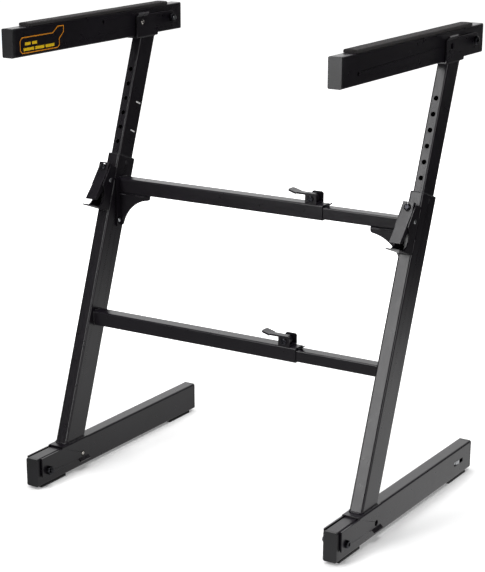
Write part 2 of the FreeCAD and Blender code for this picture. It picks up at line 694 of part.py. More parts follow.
def make_snap(side, fold):
    """A domed button with the leaf spring that carries it inside the tube."""
    body = new_body(f"{side}_{fold}_snap", side_place(side))
    at = FOLDS[fold]
    wall = f"{at['half']} - {at['wall']}"
    tip = f"{PLATE_OUTER[fold]} + snap_proud"
    button = rod(body, "x", (at["snap_y"], at["z"]),
                 inward(side, f"{wall} - slide_clearance - leaf_thickness / 2", tip),
                 "snap_radius")
    end = SIDES[side] * (size(f"{fold}_width") / 2 + size("washer_thickness")
                         + size("bracket_wall") + size("snap_proud"))
    round_edges(body, button, "2.5", lambda edge: abs(edge.CenterOfMass.x - end) < 0.01)
    half = "leaf_width / 2"
    block(body, inward(side, f"{wall} - slide_clearance - leaf_thickness",
                       f"{wall} - slide_clearance"),
          at["leaf"], (f"{at['z']} - {half}", f"{at['z']} + {half}"))
    return body


def make_leg(side):
    body = new_body(f"{side}_leg_tube", leg_place(side))
    tube(body, "z", ("-leg_width / 2", "leg_width / 2"), ("-leg_depth / 2", "leg_depth / 2"),
         ("-20", "leg_length"), "leg_wall", "leg_corner")
    level_cut(body, 0, above=False)
    pin = ("0", "leg_length - lock_pin_drop")
    rod(body, "y", pin, ("-leg_depth / 2 - 1", "-leg_depth / 2 + 2 * leg_wall"),
        "lock_pin_radius + pin_fit", "Subtractive")
    rod(body, "x", ("0", "leg_length - bushing_boss_drop"), ("-leg_width", "leg_width"),
        "bushing_boss_radius + cap_clearance", "Subtractive")
    return body


def make_bushing(side):
    """The plastic guide in the leg's mouth, held by two bosses in the leg's side holes."""
    body = new_body(f"{side}_leg_bushing", leg_place(side))
    gap = "(leg_wall + cap_clearance)"
    half_x, half_y = f"leg_width / 2 - {gap}", f"leg_depth / 2 - {gap}"
    sleeve = block(body, (f"-({half_x})", half_x), (f"-({half_y})", half_y),
                   ("leg_length - bushing_length", "leg_length"))
    round_edges(body, sleeve, "leg_corner - leg_wall", lambda edge: straight_along(edge, "z"))
    rim_x, rim_y = "leg_width / 2 - cap_clearance", "leg_depth / 2 - cap_clearance"
    rim = block(body, (f"-({rim_x})", rim_x), (f"-({rim_y})", rim_y),
                ("leg_length", "leg_length + bushing_rim"))
    round_edges(body, rim, "leg_corner", lambda edge: straight_along(edge, "z")
                and edge.CenterOfMass.z > size("leg_length"))
    hole_x = "post_width / 2 + slide_clearance"
    hole_y = "post_depth / 2 + slide_clearance"
    rod(body, "x", ("0", "leg_length - bushing_boss_drop"),
        ("-leg_width / 2 + slide_clearance", "leg_width / 2 - slide_clearance"),
        "bushing_boss_radius")
    block(body, (f"-({hole_x})", hole_x), (f"-({hole_y})", hole_y),
          ("leg_length - bushing_length - 1", "leg_length + bushing_rim + 1"), "Subtractive")
    rod(body, "y", ("0", "leg_length - lock_pin_drop"), ("-leg_depth / 2", "-post_depth / 4"),
        "lock_pin_radius + slide_clearance", "Subtractive")
    return body


def make_post(side):
    """The upper tube: slides in the leg and has a row of locking holes in its front face."""
    body = new_body(f"{side}_post", leg_place(side))
    level = (ARM_WEB_BOTTOM - WEB_TOP) / math.cos(math.radians(LEAN_FROM_UPRIGHT))
    tube(body, "z", ("-post_width / 2", "post_width / 2"), ("-post_depth / 2", "post_depth / 2"),
         ("leg_length - post_insert", f"{level} + post_depth"), "post_wall", "post_corner")
    level_cut(body, level, above=True)
    count = int(size("holes_above_pin") + size("holes_below_pin")) + 1
    hole = rod(body, "y", ("0", "leg_length - lock_pin_drop - holes_below_pin * hole_pitch"),
               ("-post_depth / 2 - 1", "-post_depth / 2 + 2 * post_wall"),
               "lock_pin_radius + lock_hole_clearance", "Subtractive")
    doc.recompute()
    row = body.newObject("PartDesign::LinearPattern", "Holes")
    row.Originals = [hole]
    row.Direction = (next(a for a in body.Origin.OriginFeatures if a.Role == "Z_Axis"), [""])
    bind(row, Length="hole_pitch * (holes_above_pin + holes_below_pin)")
    row.Occurrences = count
    body.Tip = row
    return body


def out_of_leg(reach):
    """A distance out of the leg's front, as a coordinate of the leg's frame."""
    return f"-(leg_depth / 2 + {reach})"


def make_housing(side):
    """The channel welded to the leg's front that carries the height lever."""
    body = new_body(f"{side}_lever_housing", leg_place(side))
    front = "-leg_depth / 2"
    top, bottom = "leg_length - housing_top_drop", "leg_length - housing_bottom_drop"
    cheek = [
        (front, top),
        (out_of_leg("housing_top_reach"), top),
        (out_of_leg("housing_bend_reach"), "leg_length - housing_bend_drop"),
        (out_of_leg("housing_bottom_reach"), bottom),
        (front, bottom),
    ]
    half = "leg_width / 2"
    outline(body, "YZ_Plane", cheek, (f"-{half}", half))
    rod(body, "x", (out_of_leg("notch_reach"), "leg_length - notch_drop"),
        (f"-{half} - 1", f"{half} + 1"), "notch_radius", "Subtractive")
    block(body, (f"-{half} + housing_wall", f"{half} - housing_wall"),
          (out_of_leg("housing_bottom_reach + 1"), f"{front} - housing_wall"),
          (f"{bottom} - 1", f"{top} + 1"), "Subtractive")
    block(body, (f"-{half}", half), (out_of_leg("housing_lip_reach"), front),
          (bottom, f"{bottom} + housing_wall"))
    rod(body, "y", ("0", "leg_length - lock_pin_drop"),
        (f"{front} - housing_wall - 1", f"{front} + 1"), "lock_pin_radius + pin_fit",
        "Subtractive")
    rod(body, "x", (out_of_leg("lever_pivot_reach"), "leg_length - lever_pivot_drop"),
        (f"-{half} - 1", f"{half} + 1"), "lever_pin_radius + pin_fit", "Subtractive")
    return body


def make_lever(side):
    """The height lever: a narrow channel on a pin, pressed at its flared lower end."""
    body = new_body(f"{side}_height_lever", leg_place(side))
    outer = [
        (out_of_leg("lever_top_reach"), "leg_length - lever_top_drop"),
        (out_of_leg("lever_top_reach"), "leg_length - lever_bend_drop"),
        (out_of_leg("lever_bottom_reach"), "leg_length - lever_bottom_drop"),
    ]
    inner = [
        (out_of_leg("35"), "leg_length - lever_bottom_drop + 2"),
        (out_of_leg("14.5"), "leg_length - lever_pivot_drop - 5.2"),
        (out_of_leg("lever_pivot_reach - 5"), "leg_length - lever_pivot_drop + 2"),
        (out_of_leg("15"), "leg_length - lever_bend_drop"),
        (out_of_leg("15"), "leg_length - lever_top_drop"),
    ]
    half = "lever_width / 2"
    outline(body, "YZ_Plane", outer + inner, (f"-{half}", half))
    pivot = (out_of_leg("lever_pivot_reach"), "leg_length - lever_pivot_drop")
    rod(body, "x", pivot, (f"-{half}", half), "lever_boss")
    behind = [
        (out_of_leg("lever_top_reach - lever_wall"), "leg_length - lever_top_drop + 1"),
        (out_of_leg("lever_top_reach - lever_wall"), "leg_length - lever_bend_drop - 0.4"),
        (out_of_leg("lever_bottom_reach - 1.08 * lever_wall"),
         "leg_length - lever_bottom_drop"),
        (out_of_leg("lever_bottom_reach - 1.08 * lever_wall"),
         "leg_length - lever_bottom_drop - 5"),
        ("-leg_depth / 2", "leg_length - lever_bottom_drop - 5"),
        ("-leg_depth / 2", "leg_length - lever_top_drop + 1"),
    ]
    gap = f"{half} - 1.5"
    outline(body, "YZ_Plane", behind, (f"-({gap})", gap), "Pocket")
    rod(body, "x", pivot, (f"-{half} - 1", f"{half} + 1"), "lever_pin_radius + pin_fit",
        "Subtractive")
    pin = "leg_length - lock_pin_drop"
    slot = "lock_neck_radius + slide_clearance"
    block(body, (f"-({slot})", slot), (out_of_leg("lever_top_reach + 1"),
                                       out_of_leg("lever_top_reach - lever_wall - 1")),
          (f"{pin} - ({slot})", f"{pin} + slot_rise"), "Subtractive")
    return body


def make_lock_pin(side):
    """The pin through the leg into the post, with a neck in the lever and a domed head."""
    body = new_body(f"{side}_lock_pin", leg_place(side))
    centre = ("0", "leg_length - lock_pin_drop")
    shoulder = out_of_leg("lever_top_reach - lever_wall - 3.5")
    head = out_of_leg("lever_top_reach + slide_clearance")
    shank = rod(body, "y", centre, (shoulder, "-post_depth / 2 + lock_pin_reach"),
                "lock_pin_radius")
    tip = -size("post_depth") / 2 + size("lock_pin_reach")
    round_edges(body, shank, "1", lambda edge: abs(edge.CenterOfMass.y - tip) < 0.01, "Chamfer")
    rod(body, "y", centre, (head, shoulder), "lock_neck_radius")
    dome = rod(body, "y", centre, (f"{head} - lock_head_height", head), "lock_head_radius")
    face = -(size("leg_depth") / 2 + size("lever_top_reach") + size("slide_clearance")
             + size("lock_head_height"))
    round_edges(body, dome, "2.5", lambda edge: abs(edge.CenterOfMass.y - face) < 0.01)
    for wide, high in (("4", "1"), ("1", "4")):
        block(body, (f"-{wide}", wide), (f"{head} - lock_head_height - 1",
                                         f"{head} - lock_head_height + 1.2"),
              (f"{centre[1]} - {high}", f"{centre[1]} + {high}"), "Subtractive")
    return body


def make_lever_pin(side):
    """The riveted pin that the height lever turns on."""
    body = new_body(f"{side}_lever_pin", leg_place(side))
    pivot = (out_of_leg("lever_pivot_reach"), "leg_length - lever_pivot_drop")
    half = "leg_width / 2"
    rod(body, "x", pivot, (f"-{half}", half), "lever_pin_radius")
    for way in (1, -1):
        span = (half, f"{half} + rivet_head_height")
        if way < 0:
            span = (f"-({span[1]})", f"-{half}")
        head = rod(body, "x", pivot, span, "rivet_head_radius")
        face = way * (size("leg_width") / 2 + size("rivet_head_height"))
        round_edges(body, head, "1.2", lambda edge: abs(edge.CenterOfMass.x - face) < 0.01)
    return body


BARS = ("upper", "lower")


def bar_place(bar, across=0.0):
    """A place on a crossbar's axis."""
    height = size(f"{bar}_bar_height")
    return Placement(Vector(across, FOOT_START + leg_centre(height), height), Rotation())


def clamp_place(bar):
    """Where a clamp's bolt crosses the crossbar's axis, seen from above."""
    inner_face = size("side_spacing") / 2 - size("leg_width") / 2
    return bar_place(bar, -inner_face + size("sleeve_length") - size("clamp_inset"))


LEG_FACE = "(side_spacing / 2 - leg_width / 2)"
SLIDER_BOTTOM = "-(sleeve_size / 2 - sleeve_wall - slide_clearance)"
SHOE_BOTTOM = f"{SLIDER_BOTTOM} + slider_height + slide_clearance"


def make_sleeve(bar):
    """A crossbar's outer tube, welded to the left leg, with a window for the clamp's shoe."""
    body = new_body(f"{bar}_crossbar_sleeve", bar_place(bar))
    half = "sleeve_size / 2"
    end = f"-{LEG_FACE} + sleeve_length"
    tube(body, "x", (f"-{LEG_FACE}", end), (f"-{half}", half), (f"-{half}", half), "sleeve_wall",
         "sleeve_corner")
    window = "shoe_boss / 2 + window_clearance"
    block(body, (f"{end} - clamp_inset - ({window})", f"{end} - clamp_inset + {window}"),
          (f"-({window})", window), ("0", f"{half} + 1"), "Subtractive")
    return body


def make_slider(bar):
    """A crossbar's inner tube, welded to the right leg."""
    body = new_body(f"{bar}_crossbar_slider", bar_place(bar))
    half = f"sleeve_size / 2 - sleeve_wall - slide_clearance"
    tube(body, "x", (f"{LEG_FACE} - slider_length", LEG_FACE), (f"-({half})", half),
         (SLIDER_BOTTOM, f"{SLIDER_BOTTOM} + slider_height"), "slider_wall", "slider_corner")
    return body


def make_gusset(side):
    """The plate that stiffens the upper crossbar's corner, with a flange on the leg."""
    body = new_body(f"{side}_gusset", bar_place("upper"))
    top = {"left": "-sleeve_size / 2", "right": SLIDER_BOTTOM}[side]
    way = -SIDES[side]
    low = "-sleeve_size / 2 - gusset_depth"

    def across(first, last):
        if way < 0:
            return (f"-{LEG_FACE} + ({first})", f"-{LEG_FACE} + ({last})")
        return (f"{LEG_FACE} - ({last})", f"{LEG_FACE} - ({first})")

    plate = [
        ("0", top),
        ("gusset_reach", top),
        ("gusset_reach", "-sleeve_size / 2 - gusset_corner"),
        ("gusset_corner", low),
        ("0", low),
    ]
    plate = [(f"{way} * ({LEG_FACE} - {x})", z) for x, z in plate]
    front = "-gusset_setback - gusset_wall / 2"
    back = "-gusset_setback + gusset_wall / 2"
    outline(body, "XZ_Plane", plate, (front, back))
    hollow = across("gusset_curve_reach", "gusset_curve_reach")[0]
    cut = rod(body, "y", (hollow, "-sleeve_size / 2 - gusset_curve_drop"),
              (f"{front} - 1", f"{back} + 1"), "gusset_radius", "Subtractive")
    leg_face, bar_bottom = (size("side_spacing") - size("leg_width")) / 2, -size("sleeve_size") / 2
    tips = [(leg_face - size("gusset_reach"), bar_bottom - size("gusset_corner")),
            (leg_face - size("gusset_corner"), bar_bottom - size("gusset_depth"))]
    round_edges(body, cut, "gusset_tip", lambda edge: straight_along(edge, "y")
                and any(abs(abs(edge.CenterOfMass.x) - x) < 0.6
                        and abs(edge.CenterOfMass.z - z) < 0.6 for x, z in tips))
    wide = ("-gusset_setback - gusset_flange * 0.66", "-gusset_setback + gusset_flange * 0.34")
    block(body, across("0", "gusset_wall"), wide, (low, top))
    block(body, across("0", "gusset_wall"), (wide[0], "-sleeve_size / 2"),
          (top, "gusset_ear"))
    rivet = across("gusset_wall - 0.5", "gusset_wall + 1.5")
    rod(body, "x", (f"{wide[0]} + 5.6", f"{low} + 10.2"), rivet, "3")
    return body


def make_clamp_brackets():
    """Two upright channels on the sleeves that hold the clamp levers' bolts."""
    body = new_body("clamp_brackets", Placement())
    for bar in BARS:
        clamp_bracket(body, clamp_place(bar).Base)
    return body


def placed(at, x, y, z):
    """Spans around a place of the stand, for parts that share one body."""
    return [(f"{base} + ({low})", f"{base} + ({high})")
            for base, (low, high) in zip(at, (x, y, z))]


def clamp_bracket(body, at):
    half = "sleeve_size / 2"
    ends = ("-clamp_length / 2", "clamp_length / 2")
    filled = block(body, *placed(at, ends, (f"-{half}", half),
                                 (half, f"{half} + clamp_height")))
    top = at.z + size("sleeve_size") / 2 + size("clamp_height")
    round_edges(body, filled, "4", lambda edge: straight_along(edge, "y")
                and abs(edge.CenterOfMass.z - top) < 0.01)
    inner = f"{half} - clamp_wall"
    block(body, *placed(at, ("-clamp_length", "clamp_length"), (f"-({inner})", inner),
                        (f"{half} + clamp_wall", f"{half} + clamp_height + 1")), "Subtractive")
    window = "shoe_boss / 2 + window_clearance"
    block(body, *placed(at, (f"-({window})", window), (f"-({window})", window),
                        ("0", f"{half} + clamp_wall + 1")), "Subtractive")
    rod(body, "y", (f"{at.x}", f"{at.z} + {half} + clamp_bolt_height"),
        (f"{at.y} - sleeve_size", f"{at.y} + sleeve_size"), "clamp_bolt_radius + pin_fit",
        "Subtractive")


def make_clamp_bolts():
    body = new_body("clamp_bolts", Placement())
    for bar in BARS:
        clamp_bolt(body, clamp_place(bar).Base)
    return body


def clamp_bolt(body, at):
    """A domed bolt across a clamp, with its cross-slotted head in front."""
    half = "sleeve_size / 2"
    up = f"{at.z} + {half} + clamp_bolt_height"
    centre = (f"{at.x}", up)
    front = f"{at.y} - {half}"
    rod(body, "y", centre, (front, f"{at.y} + {half} + clamp_nut_height + 1"),
        "clamp_bolt_radius")
    head = rod(body, "y", centre, (f"{front} - clamp_head_height", front), "clamp_head_radius")
    face = at.y - size("sleeve_size") / 2 - size("clamp_head_height")
    round_edges(body, head, "2", lambda edge: abs(edge.CenterOfMass.y - face) < 0.01
                and abs(edge.CenterOfMass.z - at.z) < 40)
    for wide, high in (("3.5", "0.8"), ("0.8", "3.5")):
        block(body, (f"{at.x} - {wide}", f"{at.x} + {wide}"),
              (f"{front} - clamp_head_height - 1", f"{front} - clamp_head_height + 1.2"),
              (f"{up} - {high}", f"{up} + {high}"), "Subtractive")


def make_clamp_nuts():
    body = new_body("clamp_nuts", Placement())
    for bar in BARS:
        at = clamp_place(bar).Base
        half = "sleeve_size / 2"
        up = f"{at.z} + {half} + clamp_bolt_height"
        back = f"{at.y} + {half}"
        outline(body, "XZ_Plane", moved(hexagon("clamp_nut_radius"), at.x, up),
                (back, f"{back} + clamp_nut_height"))
        rod(body, "y", (f"{at.x}", up), (f"{back} - 1", f"{back} + clamp_nut_height + 1"),
            "clamp_bolt_radius + pin_fit", "Subtractive")
    return body


def make_clamp_lever(bar):
    """A lever with an eccentric hub that presses the shoe down on the inner tube."""
    at = clamp_place(bar)
    at.Base.z += size("sleeve_size") / 2 + size("clamp_bolt_height")
    body = new_body(f"{bar}_clamp_lever", at)
    half = "handle_width / 2"
    span = (f"-{half}", half)
    rod(body, "y", ("0", "-cam_offset"), span, "cam_radius")
    rod(body, "y", ("0", "0"), span, "cam_hub_radius")
    block(body, ("-handle_length", "2"), span, ("handle_rise - handle_thickness", "handle_rise"))
    paddle = body.newObject("PartDesign::AdditiveBox", "Paddle")
    bind(paddle, Length="paddle_length", Width="paddle_width", Height="handle_thickness")
    turn = Rotation(Vector(0, 1, 0), 180 + size("paddle_rise"))
    paddle.Placement = Placement(Vector(-size("handle_length") + 1, size("paddle_width") / -2,
                                        size("handle_rise")), turn)
    round_edges(body, paddle, "4", lambda edge: is_paddle_corner(edge))
    rod(body, "y", ("0", "0"), (f"-{half} - 1", f"{half} + 1"), "clamp_bolt_radius + pin_fit",
        "Subtractive")
    return body


def is_paddle_corner(edge):
    """Whether a short edge stands at one of the paddle's outer corners."""
    middle = edge.CenterOfMass
    at_side = abs(abs(middle.y) - size("paddle_width") / 2) < 0.01
    far = middle.x < -size("handle_length") - size("paddle_length") * 0.8
    return at_side and far and edge.Length < size("handle_thickness") + 0.1


def make_clamp_shoes():
    """Two steel leaves between sleeve and inner tube, each with a boss up to its cam."""
    body = new_body("clamp_shoes", Placement())
    for bar in BARS:
        at = clamp_place(bar).Base
        top = f"{SHOE_BOTTOM} + shoe_thickness"
        wide = ("-shoe_width / 2", "shoe_width / 2")
        block(body, *placed(at, ("-shoe_tail", "clamp_inset + 2"), wide, (SHOE_BOTTOM, top)))
        boss = ("-shoe_boss / 2", "shoe_boss / 2")
        cam_low = "sleeve_size / 2 + clamp_bolt_height - cam_offset - cam_radius"
        block(body, *placed(at, boss, boss, (SHOE_BOTTOM, f"{cam_low} - cam_gap")))
        tab = [
            ("clamp_inset + 1.5", SHOE_BOTTOM),
            ("clamp_inset + 3", SHOE_BOTTOM),
            ("clamp_inset + shoe_tab_reach", f"{SHOE_BOTTOM} + shoe_tab_rise"),
            ("clamp_inset + shoe_tab_reach - 1", f"{top} + shoe_tab_rise"),
            ("clamp_inset + 2.4", top),
            ("clamp_inset + 1.5", top),
        ]
        tab = [(f"{at.x} + {x}", f"{at.z} + {z}") for x, z in tab]
        outline(body, "XZ_Plane", tab, (f"{at.y} - 4", f"{at.y} + 4"))
    return body


def make_foam(side):
    """The soft pad on an arm."""
    body = new_body(f"{side}_arm_pad", side_place(side))
    top = "arm_bottom + arm_height"
    pad = block(body, ("-arm_width / 2", "arm_width / 2"),
                ("foam_start - arm_overhang", "foam_start - arm_overhang + foam_length"),
                (top, f"{top} + foam_thickness"))
    high = size("arm_bottom") + size("arm_height") + size("foam_thickness")
    round_edges(body, pad, "foam_edge", lambda edge: straight_along(edge, "y")
                and abs(edge.CenterOfMass.z - high) < 0.01)
    return body


def build_stand():
    """Every piece of the stand, each as a body of its own."""
    pieces = []
    for side in SIDES:
        pieces += [make_leg(side), make_bushing(side), make_housing(side), make_lever(side)]
        pieces += [make_lever_pin(side), make_lock_pin(side), make_post(side)]
        pieces += [make_foot_channel(side), make_arm_channel(side), make_gusset(side)]
        pieces += [make_foot_tube(side), make_arm_tube(side), make_foam(side)]
        for fold in FOLDS:
            pieces += [make_caps(side, fold), make_bolt(side, fold), make_nut(side, fold)]
            pieces += [make_washers(side, fold), make_snap(side, fold)]
    pieces.append(make_rubber("left_foot_pads", "left", ("near_rubber_start", FAR_RUBBER)))
    pieces.append(make_rubber("right_near_pad", "right", ("near_rubber_start",)))
    pieces += [make_levelling_foot(), make_levelling_wheel()]
    for bar in BARS:
        pieces += [make_sleeve(bar), make_slider(bar), make_clamp_lever(bar)]
    pieces += [make_clamp_brackets(), make_clamp_bolts(), make_clamp_nuts(), make_clamp_shoes()]
    return pieces


def check_and_export(pieces):
    """Stop on anything that failed to build, then write one file for each piece."""
    doc.recompute()
    for thing in doc.Objects:
        if {"Invalid", "Error"} & set(thing.State):
            raise RuntimeError(f"{thing.Label} did not build: {thing.State}")
    os.makedirs("parts", exist_ok=True)
    for piece in pieces:
        shape = piece.Shape
        if shape.isNull() or not shape.isValid() or not shape.Solids:
            raise RuntimeError(f"{piece.Label} has no valid shape")
        shape.exportStep(f"parts/{piece.Label}.step")
    print(f"{len(pieces)} pieces written")


check_and_export(build_stand())
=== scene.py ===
import json
import math

import bmesh
import bpy
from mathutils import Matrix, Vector


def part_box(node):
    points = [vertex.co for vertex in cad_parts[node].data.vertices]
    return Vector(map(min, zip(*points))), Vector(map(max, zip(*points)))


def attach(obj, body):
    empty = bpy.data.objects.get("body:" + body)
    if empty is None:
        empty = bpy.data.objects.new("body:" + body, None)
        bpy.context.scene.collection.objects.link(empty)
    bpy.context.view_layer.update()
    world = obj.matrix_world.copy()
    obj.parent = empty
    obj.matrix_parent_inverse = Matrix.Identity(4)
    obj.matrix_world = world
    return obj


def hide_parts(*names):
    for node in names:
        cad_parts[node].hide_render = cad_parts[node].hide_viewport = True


# The looks of a folding keyboard stand: black powder-coated steel, plastic caps, foam pads and
# plated buttons, photographed on white. The metal pieces are the frame's own. This script gives
# them materials and models the foam, the welds, two screws and the printed marks. Sizes are in
# millimetres, and in_metres brings them to Blender's metres.

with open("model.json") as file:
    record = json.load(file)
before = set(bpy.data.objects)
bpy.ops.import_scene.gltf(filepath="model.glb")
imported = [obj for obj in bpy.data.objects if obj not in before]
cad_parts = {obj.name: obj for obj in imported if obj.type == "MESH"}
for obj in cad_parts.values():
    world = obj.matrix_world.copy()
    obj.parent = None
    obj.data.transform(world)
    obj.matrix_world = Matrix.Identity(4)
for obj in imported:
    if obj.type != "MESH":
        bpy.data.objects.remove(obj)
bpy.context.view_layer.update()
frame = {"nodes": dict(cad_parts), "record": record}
nodes = frame["nodes"]
SIDES = {"left": 1, "right": -1}  # the way towards the stand's middle along X
WELDED_TUBE = {"left": "sleeve", "right": "slider"}  # the crossbars' tube on each leg


def in_metres(x, y, z):
    """A place in millimetres of the stand's frame, in metres."""
    return Vector((x, y, z)) / 1000


def box_of(node):
    """A node's lowest and highest corners at rest, in millimetres."""
    return tuple(corner * 1000 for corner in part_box(node))


# ---------------------------------------------------------------- materials

NOISE_MIDDLE = (0.3, 0.7)  # between these lies nearly all of a noise pattern


def linear(hex_colour):
    """A screen colour as the linear values that shaders take."""
    channels = (int(hex_colour[i:i + 2], 16) / 255 for i in (1, 3, 5))
    return tuple(c / 12.92 if c <= 0.04045 else ((c + 0.055) / 1.055) ** 2.4
                 for c in channels) + (1,)


def add_node(tree, kind, values=None, **settings):
    """A node with its settings made and each named or numbered input set or linked."""
    made = tree.nodes.new(f"ShaderNode{kind}")
    for name, value in settings.items():
        setattr(made, name, value)
    for key, value in (values or {}).items():
        if isinstance(value, bpy.types.NodeSocket):
            tree.links.new(value, made.inputs[key])
        else:
            made.inputs[key].default_value = value
    return made


def surface(name, tones, roughness, patterns, depth=0.0, **settings):
    """A finish of two close tones. The patterns are noise of a size in millimetres, a detail and
    a harshness: "tone" mixes the tones, "gloss" moves the roughness between its two values, and
    "relief" raises the skin by a depth in millimetres."""
    material = bpy.data.materials.new(name)
    material.use_nodes = True
    tree = material.node_tree
    shader = tree.nodes["Principled BSDF"]
    for setting, value in settings.items():
        shader.inputs[setting.replace("_", " ")].default_value = value
    place = add_node(tree, "TexCoord").outputs["Object"]
    fields = {use: add_node(tree, "TexNoise", {"Vector": place, "Scale": 1000 / size,
                                               "Detail": detail, "Roughness": harshness})
              for use, (size, detail, harshness) in patterns.items()}
    low, high = NOISE_MIDDLE
    share = add_node(tree, "MapRange", {0: fields["tone"].outputs["Fac"], 1: low, 2: high})
    colour = add_node(tree, "Mix", {0: share.outputs[0], 6: linear(tones[0]),
                                    7: linear(tones[1])}, data_type="RGBA")
    tree.links.new(colour.outputs[2], shader.inputs["Base Color"])
    shader.inputs["Roughness"].default_value = roughness[0]
    if "gloss" in fields:
        gloss = add_node(tree, "MapRange", {0: fields["gloss"].outputs["Fac"], 1: low, 2: high,
                                            3: roughness[0], 4: roughness[1]})
        tree.links.new(gloss.outputs[0], shader.inputs["Roughness"])
    if "relief" in fields:
        skin = add_node(tree, "Bump", {"Height": fields["relief"].outputs["Fac"],
                                       "Distance": depth / 1000})
        tree.links.new(skin.outputs["Normal"], shader.inputs["Normal"])
    return material


def powder_coat():
    """Black polyester powder, sprayed on steel and baked: a satin skin whose highlights are
    soft, with a faint orange peel and the dull traces of handling."""
    return surface("black_powder_coat", ("#0f0c11", "#151218"), (0.27, 0.31),
                   {"tone": (110, 3, 0.5), "gloss": (16.5, 4, 0.6), "relief": (1.1, 2, 0.5)},
                   depth=0.04, IOR=1.5)


def moulded_plastic(name, tones, roughness):
    """Plastic moulded in a spark-eroded tool: the fine grain greys its highlights. The grain is
    drawn at 0.4 mm, a few times its real size, because a finer one would not show."""
    grain = (0.4, 2, 0.6)
    return surface(name, tones, (roughness - 0.06, roughness + 0.06),
                   {"tone": (25, 2, 0.5), "gloss": grain, "relief": grain}, depth=0.03)


def closed_cell_foam():
    """Closed-cell foam sheet, cut: dull and warm black, with a skin of burst cells that throws
    light in every direction. The cells are drawn at 0.65 mm, about twice their real size, because
    smaller ones would not show."""
    material = surface("closed_cell_foam", ("#141112", "#1b1718"), (0.85,),
                       {"tone": (40, 4, 0.6)}, Sheen_Weight=0.08)
    cell_size, cell_depth = 0.65, 0.15
    tree = material.node_tree
    place = tree.nodes["Texture Coordinate"].outputs["Object"]
    cells = add_node(tree, "TexVoronoi", {"Vector": place, "Scale": 1000 / cell_size})
    skin = add_node(tree, "Bump", {"Height": cells.outputs["Distance"],
                                   "Distance": cell_depth / 1000})
    tree.links.new(skin.outputs["Normal"], tree.nodes["Principled BSDF"].inputs["Normal"])
    return material


def moulded_rubber():
    """Compression-moulded rubber: dull black, with a fine even grain and hardly a highlight."""
    grain = (0.8, 3, 0.6)
    return surface("moulded_rubber", ("#0e0e0e", "#191919"), (0.75,),
                   {"tone": grain, "relief": grain}, depth=0.05)


def plated_steel(name, tones, roughness):
    """Steel plated in a barrel: a thin metal skin that mirrors softly, cloudy where its polish
    changes."""
    fine = (0.65, 2, 0.5)
    return surface(name, tones, roughness, {"tone": (5.5, 3, 0.5), "gloss": fine, "relief": fine},
                   depth=0.02, Metallic=1.0)


def screen_print(name, colour):
    """Screen-printed ink: opaque, duller than the coat below it, and thinner in places, which
    takes it a seventh of the way to black."""
    thin = "#" + "".join(f"{int(int(colour[i:i + 2], 16) * 6 / 7):02x}" for i in (1, 3, 5))
    return surface(name, (thin, colour), (0.55,), {"tone": (1.4, 3, 0.5)})


MATERIALS = {
    "black_powder_coat": powder_coat(),
    "black_plastic": moulded_plastic("black_nylon", ("#1c1c1f", "#26262a"), 0.45),
    "grey_plastic": moulded_plastic("end_cap_polyethylene", ("#151517", "#1b1b1e"), 0.38),
    "foam": closed_cell_foam(),
    "rubber": moulded_rubber(),
    "bright_nickel": plated_steel("nickel_plated_steel", ("#b9b4ae", "#dedad4"), (0.16, 0.26)),
    "zinc_plate": plated_steel("zinc_plated_steel", ("#9a9c9e", "#c8cacc"), (0.25, 0.4)),
    "black_oxide_steel": plated_steel("black_oxide_steel", ("#2a2a2d", "#434348"), (0.24, 0.4)),
}
ORANGE_INK = screen_print("orange_screen_print", "#f79b0c")
WHITE_INK = screen_print("white_screen_print", "#f4f4f4")
YELLOW_INK = screen_print("yellow_screen_print", "#ffd200")


# ---------------------------------------------------------------- the frame's own pieces

EDGE_ROUNDING = {"default": 0.35, "foot_caps": 0.9, "arm_caps": 0.9, "foot_pads": 0.8,
                 "near_pad": 0.8, "levelling_foot": 0.8, "levelling_wheel": 0.25,
                 "clamp_lever": 0.6, "height_lever": 0.45, "gusset": 0.5}
ROUNDED_FROM = 38  # an edge that turns by fewer degrees is part of a curve and stays smooth


def dress_frame():
    """Give every piece of the frame its material and softly rounded, smoothly lit edges."""
    slots = {part["node"]: part["material_slot"] for part in frame["record"]["subparts"]}
    for name, piece in nodes.items():
        piece.data.materials.clear()
        piece.data.materials.append(MATERIALS[slots[name]])
        split_normals = piece.data.attributes.get("custom_normal")
        if split_normals:
            piece.data.attributes.remove(split_normals)
        piece.data.shade_smooth()
        width = next((mm for part, mm in EDGE_ROUNDING.items() if name.endswith(part)),
                     EDGE_ROUNDING["default"])
        corners = piece.modifiers.new("join_corners", "WELD")
        corners.merge_threshold = 0.00002
        bevel = piece.modifiers.new("round_edges", "BEVEL")
        bevel.width = width / 1000
        bevel.segments = 2
        bevel.limit_method = "ANGLE"
        bevel.angle_limit = math.radians(ROUNDED_FROM)
        bevel.use_clamp_overlap = True
        bevel.harden_normals = False
        level = piece.modifiers.new("even_light", "WEIGHTED_NORMAL")
        level.keep_sharp = False
        level.weight = 60


# ---------------------------------------------------------------- modelling new pieces

def start_piece(name, add, **settings):
    """A primitive, alone selected, with its place and turn put into its mesh."""
    bpy.ops.object.select_all(action="DESELECT")
    add(**settings)
    piece = bpy.context.object
    piece.name = piece.data.name = name
    bpy.ops.object.transform_apply()
    return piece


def pick(piece, kind, rule):
    """Select the verts, edges or faces of a piece in edit mode that meet a rule."""
    bpy.ops.mesh.select_mode(type={"verts": "VERT", "edges": "EDGE", "faces": "FACE"}[kind])
    bpy.ops.mesh.select_all(action="DESELECT")
    form = bmesh.from_edit_mesh(piece.data)
    for item in getattr(form, kind):
        if rule(item):
            item.select_set(True)
    bmesh.update_edit_mesh(piece.data)


def select_only(pieces):
    """Select some pieces and nothing else, with the first as the active one."""
    bpy.ops.object.select_all(action="DESELECT")
    for piece in pieces:
        piece.select_set(True)
    bpy.context.view_layer.objects.active = pieces[0]


